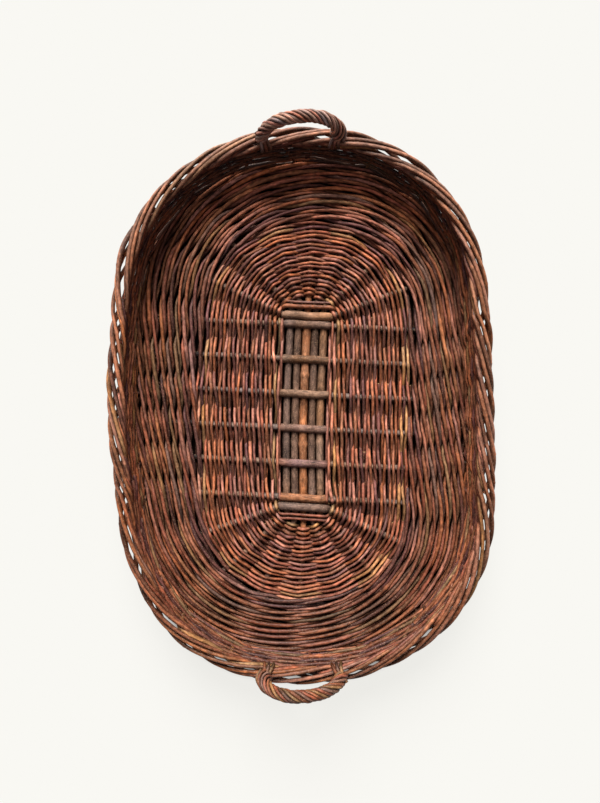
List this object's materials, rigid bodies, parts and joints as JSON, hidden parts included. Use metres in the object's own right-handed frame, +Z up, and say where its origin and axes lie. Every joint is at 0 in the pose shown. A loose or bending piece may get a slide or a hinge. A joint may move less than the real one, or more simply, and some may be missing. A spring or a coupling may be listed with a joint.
{
  "type": "tray basket",
  "caption": "Shallow oval tray basket of woven willow rods with a pierced stick base, a low woven wall, a plaited border and a roped handle at each end.",
  "frame": {"origin": "middle of the basket's box, on the plane that it stands on", "axes": "+X across the tray, +Y along the tray from handle to handle, +Z up"},
  "size_m": [0.5461, 0.7957, 0.1269],
  "materials": {
    "sticks": "matt grey-brown bark",
    "pale_sticks": "matt pale speckled bark",
    "binding": "satin orange-brown bark",
    "base_weave": "satin red-brown bark",
    "base_wale": "satin red-brown bark",
    "stakes": "satin dark brown bark",
    "upsett": "satin dark brown bark",
    "wall_weave": "satin red-brown bark",
    "border": "satin red-brown bark",
    "handle_bow": "satin dark brown bark",
    "handle_rope": "satin red-brown bark",
    "handle_lashing": "satin orange-brown bark"
  },
  "bodies": {
    "root": {"long_stick_1": "sticks", "long_stick_2": "sticks", "long_stick_3": "sticks", "long_stick_4": "sticks", "long_stick_5": "sticks", "cross_stick_1": "sticks", "cross_stick_2": "sticks", "cross_stick_3": "sticks", "cross_stick_4": "sticks", "cross_stick_5": "sticks", "cross_stick_6": "sticks", "end_stick_1": "pale_sticks", "end_stick_2": "pale_sticks", "binding_rod_1": "binding", "binding_rod_2": "binding", "base_weaver_1": "base_weave", "base_weaver_2": "base_weave", "base_wale_1": "base_wale", "base_wale_2": "base_wale", "base_wale_3": "base_wale", "stake_set_1": "stakes", "stake_set_2": "stakes", "stake_set_3": "stakes", "stake_set_4": "stakes", "stake_set_5": "stakes", "stake_set_6": "stakes", "stake_set_7": "stakes", "stake_set_8": "stakes", "stake_set_9": "stakes", "stake_set_10": "stakes", "stake_set_11": "stakes", "stake_set_12": "stakes", "stake_set_13": "stakes", "upsett_rod_1": "upsett", "upsett_rod_2": "upsett", "upsett_rod_3": "upsett", "wall_weaver_1": "wall_weave", "wall_weaver_2": "wall_weave", "border_rod_1": "border", "border_rod_2": "border", "border_rod_3": "border", "handle_bow_1": "handle_bow", "handle_rope_1_1": "handle_rope", "handle_rope_1_2": "handle_rope", "handle_rope_1_3": "handle_rope", "handle_rope_1_4": "handle_rope", "handle_lashing_1_1": "handle_lashing", "handle_lashing_1_2": "handle_lashing", "handle_bow_2": "handle_bow", "handle_rope_2_1": "handle_rope", "handle_rope_2_2": "handle_rope", "handle_rope_2_3": "handle_rope", "handle_rope_2_4": "handle_rope", "handle_lashing_2_1": "handle_lashing", "handle_lashing_2_2": "handle_lashing"}
  },
  "joints": []
}
